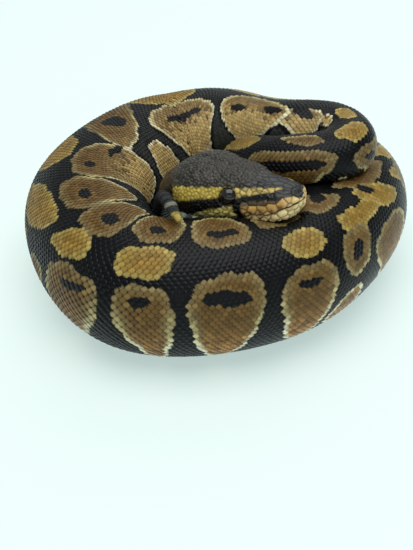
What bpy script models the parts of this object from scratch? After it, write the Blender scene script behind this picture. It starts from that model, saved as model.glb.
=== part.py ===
"""A ball python at rest, coiled on a flat floor, life size, as one closed solid for each length of the animal.

Metres, +Z up, the floor at Z = 0, the middle of the whole animal over the origin, the head pointing to +X and a little to -Y.
The route of the spine is given in millimetres and degrees round the coil, and turned into metres at the end.
"""

from math import cos, pi, radians, sin

import bmesh
import bpy
import numpy as np

MM = 0.001

# ---- driving sizes, mm ----
MID_RADIUS = 16.0        # half the girth of the thickest length
SEAM = 0.3               # clear gap between two lengths of the body
TOUCH = 0.34             # clear gap between two coils that press on each other
REST = 15.4              # height of the spine where the coil lies on the floor
HEAD_LENGTH = 31.0       # snout to the back of the jaws
EYE_RADIUS = 2.05
EYE_BACK = 14.4          # from the snout to the middle of the eye, along the head
EYE_SIDE = 6.25          # from the head's middle plane to the middle of the eyeball
EYE_UP = 0.9
SOCKET_CLEAR = 0.3
HEAD_CLEAR = 0.65        # between the head's inner balls and the coils pressed under it
NAPE_DROP = 1.5          # how far the neck starts below the middle of the head
NAPE = 30.6              # where the head ends, back from the snout
MOUTH_GAP = 0.3
SEGMENTS = 30            # round each section of the body
TAIL_SEGMENTS = 20

# ---- where the coil's middle stands, mm, so that the whole animal is centred on the origin ----
MIDDLE = (-1.3, 0.9)

# ---- how the head lies ----
SNOUT = (17.4, -26.6, 36.0)
HEAD_TURN = -33.7        # about Z, from +X
HEAD_RAISE = 12.0        # the snout above the nape
HEAD_ROLL = -5.0         # the near cheek a little lower

# ---- the spine behind the head: degrees round the coil, mm from its middle, mm above the floor ----
NECK_BEND = [(-151, 9.9, 22.6), (-180, 8.4, 17.2), (-218, 4.6, 15.6), (-328, 4.2, 18.8), (-333, 8.6, 25.5)]
UPPER_LOOP = [(-15, 13.9, 30.5), (-20, 22.2, 33.0), (-14, 29.5, 34.0), (-4, 33.1, 34.5), (11, 31.2, 34.0)]
DESCENT = [(21, 24.5, 33.0), (45, 22.2, 29.0), (71, 28.2, 22.8), (90, 33.0, 18.3)]
OUTER_COIL = [(108, 33.7), (124, 32.4), (142, 31.3), (160, 31.3), (180, 32.4), (200, 33.0), (220, 34.7),
              (240, 36.7), (260, 34.5), (280, 32.2), (300, 31.3), (320, 30.8), (340, 31.8), (356, 33.9)]
UNDER_LOOP = [(371, 35.7, 15.2), (383, 35.6, 14.4), (395, 33.0, 12.8), (405, 27.8, 11.0), (414, 21.2, 9.7),
              (432, 15.9, 8.8)]
INNER_COIL = [(465, 13.6, 8.2), (503, 13.4, 7.6), (538, 13.5, 7.4)]
TAIL_RISE = [(565, 14.3, 8.6), (576, 16.4, 14.6), (584, 17.6, 22.2), (598.5, 22.9, 30.6), (607, 27.0, 32.9), (615.6, 32.6, 33.1)]

# ---- girth along the body, as a share of the thickest: (mm from the snout, share) ----
GIRTH = [(0, 0.25), (26, 0.56), (32, 0.34), (42, 0.33), (60, 0.39), (85, 0.43), (112, 0.46), (126, 0.51),
         (140, 0.62), (153, 0.79), (166, 0.94), (178, 1.0), (322, 1.0), (332, 0.93), (342, 0.80), (352, 0.68),
         (364, 0.57), (376, 0.48), (387, 0.41), (396, 0.32), (404, 0.22), (412, 0.145), (420, 0.118), (438, 0.095)]

# ---- how far the back leans out of the coil: (mm from the snout, degrees) ----
LEAN = [(0, 0), (30, 0), (50, 25), (85, 48), (115, 40), (135, 42), (165, 40), (200, 42), (235, 40), (280, 30),
        (320, 22), (345, 30), (400, 25), (520, 0)]

# ---- where one named length ends and the next begins, mm from the snout ----
LENGTHS = [("neck", 31.1, 66.0), ("trunk_1", 66.0, 103.0), ("trunk_2", 103.0, 140.0), ("trunk_3", 140.0, 178.0),
           ("trunk_4", 178.0, 210.0), ("trunk_5", 210.0, 242.0), ("trunk_6", 242.0, 274.0),
           ("trunk_7", 274.0, 306.0), ("trunk_8", 306.0, 336.0), ("trunk_9", 336.0, 362.0),
           ("trunk_10", 362.0, 388.0), ("tail", 388.0, None)]

# ---- the head in its own frame: mm back from the snout, half width, top, bottom, height of the widest line ----
HEAD_SHAPE = [(0.0, 2.6, 0.8, -3.2, -1.0), (0.5, 3.9, 1.7, -4.2, -1.0), (1.5, 4.8, 2.4, -5.0, -1.0),
              (3.5, 5.5, 3.0, -5.6, -1.0), (6.0, 5.9, 3.5, -5.9, -1.0), (9.0, 6.3, 4.3, -6.0, -1.0),
              (11.5, 6.9, 5.2, -6.1, -0.8), (14.4, 7.7, 5.8, -6.2, -0.6), (17.5, 8.5, 6.1, -6.2, -0.6),
              (21.0, 9.7, 6.8, -6.2, -0.6), (24.5, 10.5, 7.3, -6.2, -0.6), (27.5, 9.9, 7.0, -6.3, -0.8),
              (30.0, 8.2, 5.6, -6.4, -1.1), (31.5, 6.9, 4.5, -6.4, -1.4)]
MOUTH_LINE = [(-0.6, -2.8), (3.0, -3.1), (8.0, -3.7), (14.0, -4.1), (20.0, -3.9), (25.5, -3.2)]
JAW_END = 25.5


def clear_scene():
    for thing in list(bpy.data.objects):
        bpy.data.objects.remove(thing, do_unlink=True)


def unit(rows):
    return rows / np.linalg.norm(rows, axis=-1, keepdims=True)


def head_axes():
    """Forward, left and up of the head, as rows."""
    turn, lift, roll = radians(HEAD_TURN), radians(HEAD_RAISE), radians(HEAD_ROLL)
    forward = np.array([cos(turn) * cos(lift), sin(turn) * cos(lift), sin(lift)])
    level = np.array([-sin(turn), cos(turn), 0.0])
    upright = np.cross(forward, level)
    return np.array([forward, cos(roll) * level + sin(roll) * upright, cos(roll) * upright - sin(roll) * level])


def round_coil(turn, reach, height):
    return (MIDDLE[0] + reach * cos(radians(turn)), MIDDLE[1] + reach * sin(radians(turn)), height)


def route_points():
    """Every station of the spine from the snout to the tip of the tail."""
    forward, _, upward = head_axes()
    stations = ((0.0, 0.0), (11.0, 0.0), (22.0, 0.0), (27.5, 0.1), (32.0, NAPE_DROP))
    points = [tuple(np.array(SNOUT) - back * forward - drop * upward) for back, drop in stations]
    outer = [(turn, reach, REST) for turn, reach in OUTER_COIL]
    for stretch in (NECK_BEND, UPPER_LOOP, DESCENT, outer, UNDER_LOOP, INNER_COIL, TAIL_RISE):
        points += [round_coil(*station) for station in stretch]
    return np.array(points)


def spline_route(points, step):
    """A natural cubic spline through the stations, resampled at equal steps of arc length."""
    knots = np.r_[0, np.cumsum(3 * np.sqrt(np.linalg.norm(np.diff(points, axis=0), axis=1)))]
    count, gaps = len(points), np.diff(knots)
    system, right = np.zeros((count, count)), np.zeros((count, 3))
    system[0, 0] = system[-1, -1] = 1
    for i in range(1, count - 1):
        system[i, i - 1 : i + 2] = gaps[i - 1], 2 * (gaps[i - 1] + gaps[i]), gaps[i]
        right[i] = 6 * ((points[i + 1] - points[i]) / gaps[i] - (points[i] - points[i - 1]) / gaps[i - 1])
    bend = np.linalg.solve(system, right)
    fine = np.linspace(0, knots[-1], 6000)
    k = np.clip(np.searchsorted(knots, fine, "right") - 1, 0, count - 2)
    gap = gaps[k][:, None]
    a = (knots[k + 1] - fine)[:, None] / gap
    b = 1 - a
    curve = a * points[k] + b * points[k + 1]
    curve += ((a**3 - a) * bend[k] + (b**3 - b) * bend[k + 1]) * gap**2 / 6
    along = np.r_[0, np.cumsum(np.linalg.norm(np.diff(curve, axis=0), axis=1))]
    even = np.linspace(0, along[-1], int(round(along[-1] / step)) + 1)
    return np.stack([np.interp(even, along, curve[:, j]) for j in range(3)], 1), even


def through(stations, at):
    """A smooth curve through (position, value) stations that never overshoots them."""
    xs, ys = np.array(stations, float).T
    gap, rise = np.diff(xs), np.diff(ys) / np.diff(xs)
    slope = np.zeros_like(ys)
    for i in range(1, len(xs) - 1):
        if rise[i - 1] * rise[i] > 0:
            one, two = 2 * gap[i] + gap[i - 1], gap[i] + 2 * gap[i - 1]
            slope[i] = (one + two) / (one / rise[i - 1] + two / rise[i])
    slope[-1] = rise[-1]
    k = np.clip(np.searchsorted(xs, at, "right") - 1, 0, len(xs) - 2)
    t = np.clip((at - xs[k]) / gap[k], 0, 1)
    ends = (1 + 2 * t) * (1 - t) ** 2 * ys[k] + t * t * (3 - 2 * t) * ys[k + 1]
    return ends + gap[k] * (t * (1 - t) ** 2 * slope[k] + t * t * (t - 1) * slope[k + 1])


class Spine:
    """The line of the body with its girth and the way its back faces, sampled every half millimetre."""

    def __init__(self):
        self.points, self.along = spline_route(route_points(), 0.5)
        self.length = self.along[-1]
        self.radius = through(GIRTH, self.along) * MID_RADIUS
        lean = np.radians(through(LEAN, self.along))[:, None]
        self.heading = unit(np.gradient(self.points, axis=0))
        upright = np.array([0, 0, 1.0])
        level_up = unit(upright - self.heading * (self.heading @ upright)[:, None])
        outward = np.cross(self.heading, level_up)
        self.back = level_up * np.cos(lean) + outward * np.sin(lean)
        self.side = outward * np.cos(lean) - level_up * np.sin(lean)
        turning = np.gradient(self.heading, axis=0) / 0.5
        self.bend = np.linalg.norm(turning, axis=1)
        self.inward = turning / np.maximum(self.bend, 1e-9)[:, None]

    def at(self, place):
        """Index of the sample nearest to this arc length."""
        return int(np.clip(round(place / 0.5), 0, len(self.along) - 1))


def head_balls():
    """Small balls just inside the head's surface, for the coils under it to give way to: x, y, z, radius."""
    small = 2.4
    balls = []
    for back in np.arange(1.6, 30.4, 1.2):
        rim = head_section(float(back), 32)
        middle = rim.mean(0)
        wide, tall = np.ptp(rim[:, 1]) / 2, np.ptp(rim[:, 2]) / 2
        out = unit((rim - middle) / np.array([1.0, wide**2, tall**2]))
        out[:, 0] = 0
        balls.append(place_head(rim - small * out))
    centres = np.concatenate(balls)
    return np.c_[centres, np.full(len(centres), small)]


class Skin:
    """How far the surface stands from the spine in any direction, after the floor and the touching coils."""

    def __init__(self, spine):
        self.spine = spine
        self.balls = head_balls()

    def reach(self, i, angles):
        """Distances from sample i of the spine to the surface at these angles from the back, and directions."""
        sp = self.spine
        centre, radius = sp.points[i], sp.radius[i]
        ways = np.outer(np.cos(angles), sp.back[i]) + np.outer(np.sin(angles), sp.side[i])
        belly = np.clip(-np.cos(angles) - 0.55, 0, 1) / 0.45
        out = radius * (1 - 0.045 * belly**2)
        down = -ways[:, 2]
        out = np.minimum(out, np.where(down > 1e-6, centre[2] / np.maximum(down, 1e-6), 1e9))
        toward = ways @ sp.inward[i]
        out = np.minimum(out, np.where(toward > 1e-6, 0.78 / np.maximum(sp.bend[i] * toward, 1e-6), 1e9))
        out = self.give_way(out, ways, centre, radius, self.other_coils(i), TOUCH / 2)
        if sp.along[i] < 47:
            out = self.behind_head(out, ways, centre)
        else:
            out = self.under_head(out, ways, centre, radius)
        return np.maximum(out, 0.1 * radius), ways

    def behind_head(self, out, ways, centre):
        """Keeps the folded neck behind the flat end of the head."""
        forward = head_axes()[0]
        nape = np.array(SNOUT) - (NAPE + SEAM) * forward
        room, toward = max((nape - centre) @ forward, 0.25), ways @ forward
        limit = np.where(toward > 1e-6, room / np.maximum(toward, 1e-6), 1e9)
        return np.minimum(out, limit)

    def under_head(self, out, ways, centre, radius):
        """Stops the surface short of the head, which doesn't yield."""
        between = self.balls[:, :3] - centre
        apart = (between**2).sum(1)
        near = apart < (radius + self.balls[:, 3] + HEAD_CLEAR) ** 2
        for gap, square, size in zip(between[near], apart[near], self.balls[near, 3] + HEAD_CLEAR):
            facing = ways @ gap
            inside = facing**2 - square + size**2
            enter = facing - np.sqrt(np.maximum(inside, 0))
            out = np.where((facing > 0) & (inside > 0), np.minimum(out, enter), out)
        return out

    def other_coils(self, i):
        """Balls along the rest of the body that can reach this section."""
        sp = self.spine
        far = np.abs(sp.along - sp.along[i]) > 2.4 * np.maximum(sp.radius, sp.radius[i]) + 4
        if sp.along[i] < 75:
            far &= sp.along > 30
        else:
            far &= sp.along > 27
        near = np.linalg.norm(sp.points - sp.points[i], axis=1) < sp.radius + sp.radius[i]
        picked = np.nonzero(far & near)[0][::2]
        return np.c_[sp.points[picked], sp.radius[picked]]

    def give_way(self, out, ways, centre, radius, balls, clear):
        """Flattens the section where a ball presses on it, on the plane that shares the squeeze between the two."""
        for ball in balls:
            between = ball[:3] - centre
            apart = between @ between
            if apart >= (radius + ball[3]) ** 2:
                continue
            facing = ways @ between
            share = (apart + radius**2 - ball[3] ** 2) / 2
            limit = np.where(facing > 1e-6, share / np.maximum(facing, 1e-6), 1e9)
            limit = limit - clear * np.sqrt(apart) / np.maximum(facing, 1e-6) * (facing > 1e-6)
            out = np.minimum(out, np.maximum(limit, 0.25 * radius))
        return out


def make_object(name, verts, faces, colour, roughness, collection):
    mesh = bpy.data.meshes.new(name)
    mesh.from_pydata([tuple(v) for v in np.asarray(verts) * MM], [], faces)
    mesh.validate()
    solid = bmesh.new()
    solid.from_mesh(mesh)
    bmesh.ops.recalc_face_normals(solid, faces=solid.faces)
    solid.to_mesh(mesh)
    solid.free()
    thing = bpy.data.objects.new(name, mesh)
    collection.objects.link(thing)
    mesh.materials.append(make_material(name, colour, roughness))
    return thing


def make_material(name, colour, roughness):
    material = bpy.data.materials.new(name)
    material.use_nodes = True
    shader = material.node_tree.nodes["Principled BSDF"]
    shader.inputs["Base Color"].default_value = (*colour, 1)
    shader.inputs["Roughness"].default_value = roughness
    return material


def sleeve(rings):
    """Joins closed rings of equal count into one body with flat ends."""
    count = len(rings[0])
    verts = np.concatenate(rings)
    faces = []
    for i in range(len(rings) - 1):
        for j in range(count):
            a, b = i * count + j, i * count + (j + 1) % count
            faces.append((a, b, b + count, a + count))
    last = (len(rings) - 1) * count
    faces.append(tuple(range(count)))
    faces.append(tuple(last + j for j in reversed(range(count))))
    return verts, faces


def ring_places(spine, start, stop):
    """Where the sections of one length stand: closer together where the body bends hard or thins."""
    places = [start]
    while places[-1] < stop - 0.05:
        i = spine.at(places[-1])
        step = np.clip(0.36 / max(spine.bend[i], 1e-3), 2.6, 4.8)
        step = min(step, 0.5 * spine.radius[i] + 1.6)
        places.append(min(places[-1] + step, stop))
    if places[-1] - places[-2] < 0.8:
        places.pop(-2)
    return places


def body_length(spine, skin, name, start, stop, colour, collection):
    """One length of the neck, trunk or tail. The tail's tip is rounded off."""
    tip = stop is None
    stop = spine.length if tip else stop - SEAM / 2
    angles = np.linspace(-pi, pi, (TAIL_SEGMENTS if tip else SEGMENTS) + 1)[:-1]
    rings = []
    for place in ring_places(spine, start + SEAM / 2, stop):
        i = spine.at(place)
        out, ways = skin.reach(i, angles)
        shift = (place - spine.along[i]) * spine.heading[i]
        ring = spine.points[i] + shift + ways * out[:, None]
        ring[:, 2] = np.maximum(ring[:, 2], 0)
        rings.append(ring)
    if tip:
        end, radius = spine.points[-1], spine.radius[-1]
        for far, narrow in ((0.5, 0.85), (0.85, 0.5)):
            centre = end + spine.heading[-1] * radius * far
            rings.append(centre + (rings[-1] - rings[-1].mean(0)) * narrow)
    verts, faces = sleeve(rings)
    return make_object(name, verts, faces, colour, 0.4, collection)


def head_section(back, count=32):
    """One section of the head, as points in the head's own frame."""
    wide, top, bottom, line = (through([(s[0], s[i]) for s in HEAD_SHAPE], np.array(back)) for i in (1, 2, 3, 4))
    turn = np.linspace(0, 2 * pi, count + 1)[:-1]
    over = np.sin(turn) >= 0
    across = wide * np.sign(np.cos(turn)) * np.abs(np.cos(turn)) ** 0.84
    rise = np.where(over, top - line, line - bottom) * np.abs(np.sin(turn)) ** 0.9
    brow = 0.35 * np.exp(-((back - 13.5) / 4.0) ** 2) * np.exp(-((np.abs(across) - 4.6) / 1.5) ** 2) * over
    crown = -0.3 * np.exp(-((back - 22.0) / 5.0) ** 2) * np.exp(-((across) / 1.6) ** 2) * over
    cheek = -0.45 * np.exp(-((back - 8.0) / 3.5) ** 2) * (np.abs(np.cos(turn)) > 0.75) * np.abs(np.cos(turn))
    return np.c_[np.full(count, -back), across + cheek * np.sign(across), line + np.where(over, rise, -rise) + brow + crown]


def place_head(local):
    return np.array(SNOUT) + np.asarray(local) @ head_axes()


def head_blank(collection):
    backs = [0, 0.4, 1.1, 2.2, 3.8, 5.6, 7.6, 9.6, 11.6, 13.2, 14.8, 16.8, 19, 21.2, 23.4, 25.4, 27.2, 28.8, NAPE]
    rings = [place_head(head_section(float(back))) for back in backs]
    verts, faces = sleeve(rings)
    return make_object("head", verts, faces, (0.06, 0.05, 0.045), 0.4, collection)


def jaw_cutter(name, drop, collection):
    """A block that fills everything under the mouth line, from in front of the snout to the corner of the mouth."""
    line = [(-4.0, MOUTH_LINE[0][1] - drop)] + [(x, z - drop) for x, z in MOUTH_LINE]
    line[-1] = (line[-1][0] - drop, line[-1][1])
    profile = line + [(line[-1][0], -14.0), (-4.0, -14.0)]
    verts, count = [], len(profile)
    for side in (-16.0, 16.0):
        verts += [(-x, side, z) for x, z in profile]
    faces = [tuple(range(count)), tuple(count + j for j in reversed(range(count)))]
    faces += [(j, j + count, (j + 1) % count + count, (j + 1) % count) for j in range(count)]
    return make_object(name, place_head(verts), faces, (0.5, 0.5, 0.5), 0.5, collection)


def ball(name, side, radius, colour, roughness, collection):
    centre = place_head([(-EYE_BACK, side * EYE_SIDE, EYE_UP)])[0]
    solid = bmesh.new()
    bmesh.ops.create_icosphere(solid, subdivisions=3, radius=radius * MM)
    mesh = bpy.data.meshes.new(name)
    solid.to_mesh(mesh)
    solid.free()
    thing = bpy.data.objects.new(name, mesh)
    thing.location = centre * MM
    mesh.materials.append(make_material(name, colour, roughness))
    collection.objects.link(thing)
    return thing


def boolean(thing, cutter, operation):
    step = thing.modifiers.new(operation.lower(), "BOOLEAN")
    step.operation, step.solver, step.object = operation, "EXACT", cutter


def build_head(parts, cutters):
    head = head_blank(parts)
    jaw = head.copy()
    jaw.data = head.data.copy()
    jaw.name = "lower_jaw"
    parts.objects.link(jaw)
    boolean(head, jaw_cutter("cut_mouth", 0.0, cutters), "DIFFERENCE")
    boolean(jaw, jaw_cutter("keep_jaw", MOUTH_GAP, cutters), "INTERSECT")
    for side, name in ((1, "left"), (-1, "right")):
        boolean(head, ball("cut_eye_" + name, side, EYE_RADIUS + SOCKET_CLEAR, (0, 0, 0), 0.5, cutters), "DIFFERENCE")
        ball("eye_" + name, side, EYE_RADIUS, (0.01, 0.01, 0.012), 0.05, parts)


def main():
    clear_scene()
    parts = bpy.data.collections.new("coiled_ball_python")
    cutters = bpy.data.collections.new("cutters")
    cutters.hide_render = True
    for group in (parts, cutters):
        bpy.context.scene.collection.children.link(group)
    spine = Spine()
    skin = Skin(spine)
    build_head(parts, cutters)
    for name, start, stop in LENGTHS:
        body_length(spine, skin, name, start, stop, (0.16, 0.10, 0.045), parts)
    for helper in cutters.objects:
        helper.hide_render = True
        helper.display_type = "WIRE"


main()
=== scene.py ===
"""A ball python at rest in its coil: the finished skin, scales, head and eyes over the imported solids.

The script's own unit is the millimetre, and make_piece turns it into metres. The route of the spine, its
girth and the way coils give way to each other repeat the part's own, so the skin lies just inside it.
"""

from collections import namedtuple
from functools import partial
from math import cos, pi, radians, sin
from types import SimpleNamespace

import bpy
import numpy as np
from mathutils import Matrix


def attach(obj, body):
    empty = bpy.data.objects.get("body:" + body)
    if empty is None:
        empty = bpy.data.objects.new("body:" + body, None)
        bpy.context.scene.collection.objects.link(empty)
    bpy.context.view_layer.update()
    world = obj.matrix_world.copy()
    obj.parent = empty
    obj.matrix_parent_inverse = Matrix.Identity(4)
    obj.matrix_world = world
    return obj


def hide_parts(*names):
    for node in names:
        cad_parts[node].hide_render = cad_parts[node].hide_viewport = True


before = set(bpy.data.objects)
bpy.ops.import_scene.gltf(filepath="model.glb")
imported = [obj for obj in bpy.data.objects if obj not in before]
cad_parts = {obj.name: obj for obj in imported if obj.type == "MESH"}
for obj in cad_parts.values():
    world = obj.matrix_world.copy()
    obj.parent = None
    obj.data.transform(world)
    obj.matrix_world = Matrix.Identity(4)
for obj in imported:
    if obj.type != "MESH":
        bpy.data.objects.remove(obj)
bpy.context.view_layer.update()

MM = 0.001
chance = np.random.default_rng(20)

# ---- the animal's construction, as in the part, mm ----
MID_RADIUS = 16.0        # of the thickest body; GIRTH gives the rest as a share of it
SEAM = 0.3               # between the head's end and the neck
TOUCH = 0.34             # between two coils that press on each other
REST = 15.4              # height of the spine where the outer coil lies on the floor
BELLY_FLAT = 0.045       # of the radius: how much flatter the underside is
HEAD_BALL = 2.4          # radius of the balls that stand for the head under its surface
HEAD_CLEAR = 0.65        # between the head and the coils under it
NAPE_DROP = 1.5
NAPE = 30.6              # the head's length to its end
NECK_START = 31.1
NECK_END = 47.0          # up to here the head's end bounds the body; past it the coils give way to the head
SAMPLE = 0.5             # between two samples of the spine
MIDDLE = (-1.3, 0.9)     # of the coil; the stations below are (degrees round it, mm from it, mm up)
SNOUT = (17.4, -26.6, 36.0)
HEAD_TURN = -33.7
HEAD_RAISE = 12.0
HEAD_ROLL = -5.0
NECK_BEND = [(-151, 9.9, 22.6), (-180, 8.4, 17.2), (-218, 4.6, 15.6), (-328, 4.2, 18.8), (-333, 8.6, 25.5)]
UPPER_LOOP = [(-15, 13.9, 30.5), (-20, 22.2, 33), (-14, 29.5, 34), (-4, 33.1, 34.5), (11, 31.2, 34)]
DESCENT = [(21, 24.5, 33), (45, 22.2, 29), (71, 28.2, 22.8), (90, 33, 18.3)]
OUTER_COIL = [(108, 33.7), (124, 32.4), (142, 31.3), (160, 31.3), (180, 32.4), (200, 33), (220, 34.7),
              (240, 36.7), (260, 34.5), (280, 32.2), (300, 31.3), (320, 30.8), (340, 31.8), (356, 33.9)]
UNDER_LOOP = [(371, 35.7, 15.2), (383, 35.6, 14.4), (395, 33, 12.8), (405, 27.8, 11), (414, 21.2, 9.7),
              (432, 15.9, 8.8)]
INNER_COIL = [(465, 13.6, 8.2), (503, 13.4, 7.6), (538, 13.5, 7.4)]
TAIL_RISE = [(565, 14.3, 8.6), (576, 16.4, 14.6), (584, 17.6, 22.2), (598.5, 22.9, 30.6), (607, 27, 32.9),
             (615.6, 32.6, 33.1)]
GIRTH = [(0, 0.25), (26, 0.56), (32, 0.34), (42, 0.33), (60, 0.39), (85, 0.43), (112, 0.46), (126, 0.51),
         (140, 0.62), (153, 0.79), (166, 0.94), (178, 1), (322, 1), (332, 0.93), (342, 0.80), (352, 0.68),
         (364, 0.57), (376, 0.48), (387, 0.41), (396, 0.32), (404, 0.22), (412, 0.145), (420, 0.118),
         (438, 0.095)]
LEAN = [(0, 0), (30, 0), (50, 25), (85, 48), (115, 40), (135, 42), (165, 40), (200, 42), (235, 40), (280, 30),
        (320, 22), (345, 30), (400, 25), (520, 0)]
HEAD_SHAPE = [(0, 2.6, 0.8, -3.2, -1), (0.5, 3.9, 1.7, -4.2, -1), (1.5, 4.8, 2.4, -5, -1),
              (3.5, 5.5, 3, -5.6, -1), (6, 5.9, 3.5, -5.9, -1), (9, 6.3, 4.3, -6, -1),
              (11.5, 6.9, 5.2, -6.1, -0.8), (14.4, 7.7, 5.8, -6.2, -0.6), (17.5, 8.5, 6.1, -6.2, -0.6),
              (21, 9.7, 6.8, -6.2, -0.6), (24.5, 10.5, 7.3, -6.2, -0.6), (27.5, 9.9, 7, -6.3, -0.8),
              (30, 8.2, 5.6, -6.4, -1.1), (31.5, 6.9, 4.5, -6.4, -1.4)]
EYE_RADIUS = 2.05
EYE_BACK = 14.4
EYE_SIDE = 6.25
EYE_UP = 0.9
FLESH = ["head", "lower_jaw", "neck"] + ["trunk_%d" % k for k in range(1, 11)] + ["tail"]

# ---- the coat ----
COAT = 0.3               # how far the skin lies inside the solids
LAP = 0.27               # how far a scale's free edge stands off the skin
# mm along the body, then a scale's length and width there
SCALE_SIZES = [(26, 0.74, 0.66), (45, 0.82, 0.76), (80, 0.86, 0.82), (112, 0.88, 0.84), (135, 1.05, 0.94),
               (330, 1.07, 0.96), (380, 0.9, 0.78), (410, 0.65, 0.52), (430, 0.5, 0.36)]
SCALE_PITCH, ROW_GAP = ([(row[0], row[i]) for row in SCALE_SIZES] for i in (1, 2))
FOLD = 0.93              # of the bend's radius: how far in the skin may reach on the inside of a bend
BELLY_EDGE = 141.0       # degrees from the back where the belly plates begin
SCALES_START = 27.6
LONGEST_STRETCH = 1.35   # past this a scale stops stretching and bare skin shows between
JAW_BLEND = (26.0, 29.0)  # mm along: the head's own shape gives way to the body's
HEAD_SINK = 0.55         # how far the skin lies below the head's own cover of scales
TAIL_TAPER = (4.5, 0.42)  # the last mm of the tail thin by this share
SKIN_FLOOR, SCALE_FLOOR, BELLY_FLOOR = 0.12, 0.02, 0.03    # the lowest that skin, scales and plates may lie


def unit(rows):
    return rows / np.maximum(np.linalg.norm(rows, axis=-1, keepdims=True), 1e-12)


def head_axes():
    """Forward, left and up of the head, as rows."""
    turn, lift, roll = radians(HEAD_TURN), radians(HEAD_RAISE), radians(HEAD_ROLL)
    forward = np.array([cos(turn) * cos(lift), sin(turn) * cos(lift), sin(lift)])
    level = np.array([-sin(turn), cos(turn), 0.0])
    upright = np.cross(forward, level)
    left = cos(roll) * level + sin(roll) * upright
    return np.array([forward, left, cos(roll) * upright - sin(roll) * level])


def round_coil(turn, reach, height):
    return (MIDDLE[0] + reach * cos(radians(turn)), MIDDLE[1] + reach * sin(radians(turn)), height)


def route_points():
    """Every station of the spine from the snout to the tip of the tail."""
    forward, _, upward = head_axes()
    stations = ((0.0, 0.0), (11.0, 0.0), (22.0, 0.0), (27.5, 0.1), (32.0, NAPE_DROP))
    points = [tuple(SNOUT - back * forward - drop * upward) for back, drop in stations]
    outer = [(turn, reach, REST) for turn, reach in OUTER_COIL]
    for stretch in (NECK_BEND, UPPER_LOOP, DESCENT, outer, UNDER_LOOP, INNER_COIL, TAIL_RISE):
        points += [round_coil(*station) for station in stretch]
    return np.array(points)


def spline_route(points, step):
    """A natural cubic spline through the stations, resampled at equal steps of arc length."""
    knots = np.r_[0, np.cumsum(3 * np.sqrt(np.linalg.norm(np.diff(points, axis=0), axis=1)))]
    count, gaps = len(points), np.diff(knots)
    system, right = np.zeros((count, count)), np.zeros((count, 3))
    system[0, 0] = system[-1, -1] = 1
    for i in range(1, count - 1):
        system[i, i - 1 : i + 2] = gaps[i - 1], 2 * (gaps[i - 1] + gaps[i]), gaps[i]
        right[i] = 6 * ((points[i + 1] - points[i]) / gaps[i] - (points[i] - points[i - 1]) / gaps[i - 1])
    bend = np.linalg.solve(system, right)
    fine = np.linspace(0, knots[-1], 6000)
    k = np.clip(np.searchsorted(knots, fine, "right") - 1, 0, count - 2)
    gap = gaps[k][:, None]
    a = (knots[k + 1] - fine)[:, None] / gap
    b = 1 - a
    curve = a * points[k] + b * points[k + 1]
    curve += ((a**3 - a) * bend[k] + (b**3 - b) * bend[k + 1]) * gap**2 / 6
    along = np.r_[0, np.cumsum(np.linalg.norm(np.diff(curve, axis=0), axis=1))]
    even = np.linspace(0, along[-1], int(round(along[-1] / step)) + 1)
    return np.stack([np.interp(even, along, curve[:, j]) for j in range(3)], 1), even


def through(stations, at):
    """A smooth curve through (position, value) stations that never overshoots them."""
    xs, ys = np.array(stations, float).T
    gap, rise = np.diff(xs), np.diff(ys) / np.diff(xs)
    slope = np.zeros_like(ys)
    for i in range(1, len(xs) - 1):
        if rise[i - 1] * rise[i] > 0:
            one, two = 2 * gap[i] + gap[i - 1], gap[i] + 2 * gap[i - 1]
            slope[i] = (one + two) / (one / rise[i - 1] + two / rise[i])
    slope[-1] = rise[-1]
    k = np.clip(np.searchsorted(xs, at, "right") - 1, 0, len(xs) - 2)
    t = np.clip((at - xs[k]) / gap[k], 0, 1)
    ends = (1 + 2 * t) * (1 - t) ** 2 * ys[k] + t * t * (3 - 2 * t) * ys[k + 1]
    return ends + gap[k] * (t * (1 - t) ** 2 * slope[k] + t * t * (t - 1) * slope[k + 1])


def ramp(low, high, x):
    """A smooth step from 0 at low to 1 at high."""
    t = np.clip((x - low) / (high - low), 0, 1)
    return t * t * (3 - 2 * t)


def fade(low, high, x):
    return 1 - ramp(low, high, x)


def bell(distance, width):
    return np.exp(-((distance / width) ** 2))


def soften(grid, along, around):
    """Gaussian smoothing of a (samples, angles) grid. Angles run all the way round."""
    for axis, width in ((0, along), (1, around)):
        if width <= 0:
            continue
        far = int(3 * width) + 1
        weights = np.exp(-0.5 * (np.arange(-far, far + 1) / width) ** 2)
        pad = [(far, far) if k == axis else (0, 0) for k in range(grid.ndim)]
        wide, size = np.pad(grid, pad, mode="wrap" if axis else "edge"), grid.shape[axis]
        grid = sum(weight * (wide[:, k : k + size] if axis else wide[k : k + size])
                   for k, weight in enumerate(weights / weights.sum()))
    return grid


class Spine:
    """The line of the body with its girth and the way its back faces, sampled every half millimetre."""

    def __init__(self):
        self.points, self.along = spline_route(route_points(), SAMPLE)
        self.length = self.along[-1]
        self.radius = through(GIRTH, self.along) * MID_RADIUS
        lean = np.radians(through(LEAN, self.along))[:, None]
        self.heading = unit(np.gradient(self.points, axis=0))
        upright = np.array([0, 0, 1.0])
        level_up = unit(upright - self.heading * (self.heading @ upright)[:, None])
        outward = np.cross(self.heading, level_up)
        back = level_up * np.cos(lean) + outward * np.sin(lean)
        head = fade(NAPE, NAPE + 6, self.along)[:, None]
        back = head_axes()[2] * head + back * (1 - head)
        self.back = unit(back - self.heading * (back * self.heading).sum(1, keepdims=True))
        self.side = np.cross(self.heading, self.back)
        turning = np.gradient(self.heading, axis=0) / SAMPLE
        self.bend = np.linalg.norm(turning, axis=1)
        self.inward = turning / np.maximum(self.bend, 1e-9)[:, None]

    def thick(self, along):
        """The body's radius at these places."""
        return np.interp(along, self.along, self.radius)


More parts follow.
